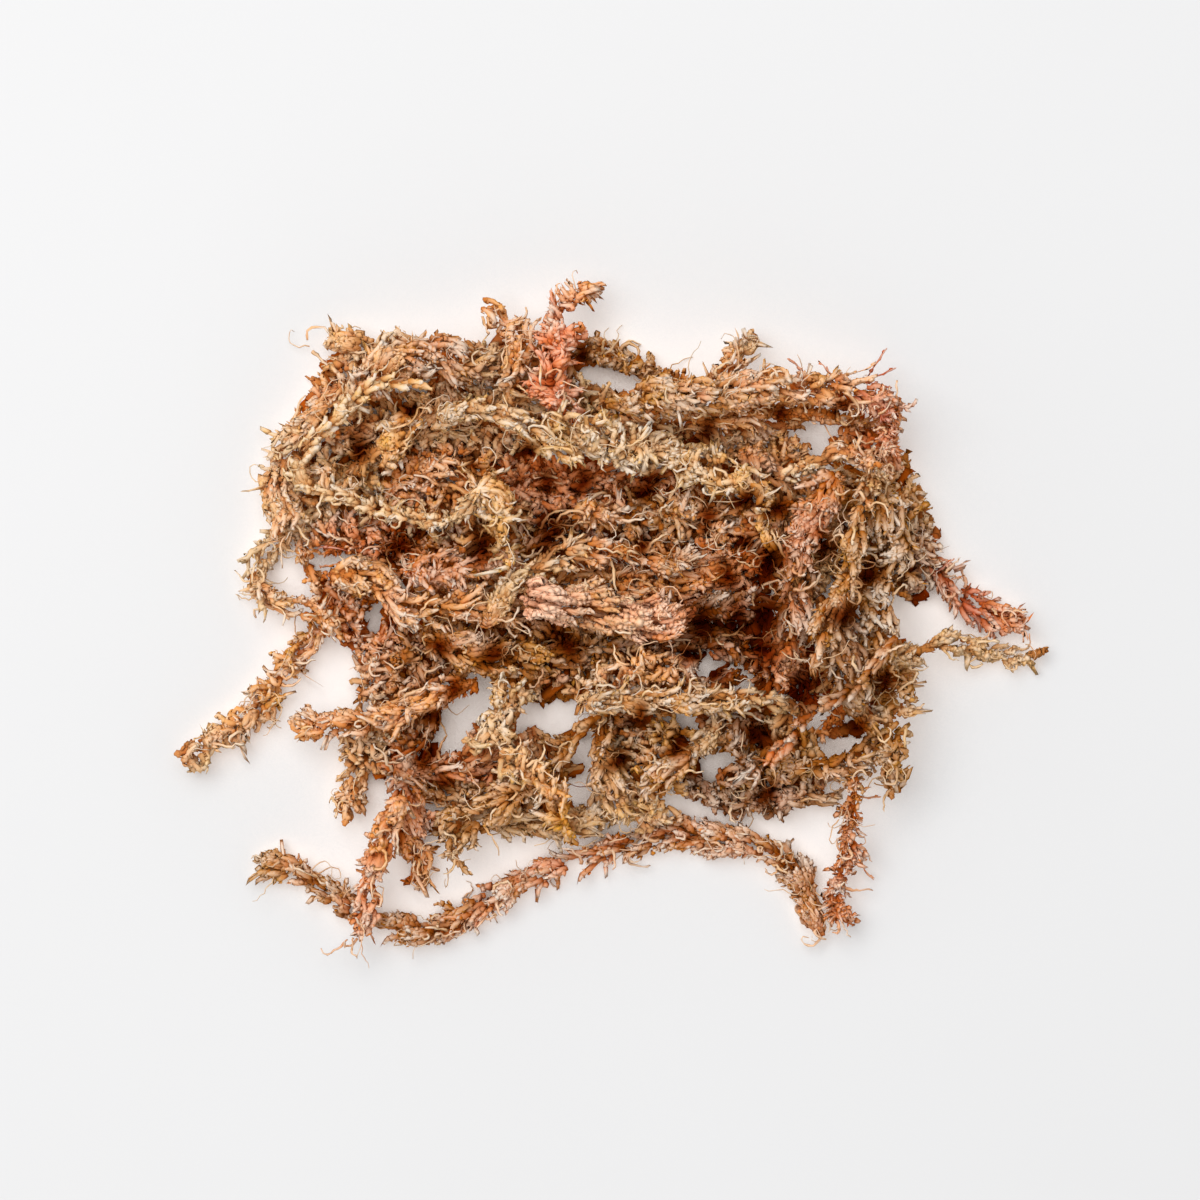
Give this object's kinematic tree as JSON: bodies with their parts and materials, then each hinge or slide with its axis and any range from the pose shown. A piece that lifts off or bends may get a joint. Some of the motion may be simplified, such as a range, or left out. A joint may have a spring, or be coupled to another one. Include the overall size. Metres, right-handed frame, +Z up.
{
  "type": "sphagnum moss clump",
  "caption": "Loose heap of long, dried sphagnum moss strands, tangled and laid over one another, for packing, lining or planting.",
  "frame": {"origin": "middle of the clump's bounding box, on the surface that it lies on", "axes": "+X along the clump's longer side, +Z straight up out of the heap"},
  "size_m": [0.1736, 0.1358, 0.0288],
  "materials": {
    "moss_straw": "dry matt, pale straw with whitish curled tips",
    "moss_tan": "dry matt, tan with paler leaf tips",
    "moss_golden": "dry matt, ochre-gold, a little translucent at the leaf tips",
    "moss_russet": "dry matt, red-brown",
    "moss_salmon": "dry matt, salmon pink to dusty rose",
    "moss_olive": "dry matt, olive-brown",
    "moss_umber": "dry matt, dark brown, shaded inside the heap"
  },
  "bodies": {
    "root": {"strand_long_floor": "moss_tan", "strand_olive_floor": "moss_olive", "strand_lower_right_band": "moss_umber", "strand_upper_right_band": "moss_umber", "strand_right_column": "moss_olive", "strand_brown_column": "moss_umber", "strand_left_column": "moss_golden", "strand_left_point": "moss_golden", "strand_red_row": "moss_russet", "strand_left_post": "moss_umber", "strand_right_post": "moss_umber", "strand_ochre_diagonal": "moss_golden", "strand_tan_tuft": "moss_tan", "strand_brown_row": "moss_umber", "strand_rust_middle": "moss_russet", "strand_dark_middle": "moss_umber", "strand_under_top": "moss_umber", "strand_right_depth": "moss_umber", "strand_olive_bush": "moss_olive", "strand_thin_link": "moss_olive", "strand_corner_tail": "moss_russet", "strand_right_reach": "moss_olive", "strand_red_right": "moss_russet", "strand_left_tail": "moss_golden", "strand_left_hook": "moss_golden", "strand_left_shoulder": "moss_russet", "strand_top_left_ochre": "moss_golden", "strand_top_left_mass": "moss_tan", "strand_top_middle": "moss_tan", "strand_olive_rope": "moss_olive", "strand_top_right_under": "moss_umber", "strand_left_rust": "moss_russet", "strand_left_band": "moss_tan", "strand_middle_band": "moss_tan", "strand_tan_middle_left": "moss_golden", "strand_tan_band": "moss_tan", "strand_beige_row": "moss_tan", "strand_green_tuft": "moss_straw", "strand_olive_inner": "moss_olive", "strand_right_drop": "moss_russet", "strand_small_arch": "moss_tan", "strand_salmon_peak": "moss_salmon", "strand_top_right_nub": "moss_golden", "strand_red_cross": "moss_russet", "strand_top_right_long": "moss_tan", "strand_golden_mass": "moss_golden", "strand_cream_broad": "moss_straw", "strand_grey_rope": "moss_straw", "strand_cream_rope": "moss_straw", "strand_curly_cream": "moss_straw", "strand_rope_arch": "moss_golden", "strand_knob": "moss_tan", "strand_pale_row": "moss_straw", "strand_orange_loop": "moss_golden", "strand_cream_drop": "moss_straw", "strand_pink_fall": "moss_russet", "strand_peach_rope": "moss_salmon", "strand_red_thread": "moss_salmon", "strand_fat_pink": "moss_salmon"}
  },
  "joints": []
}
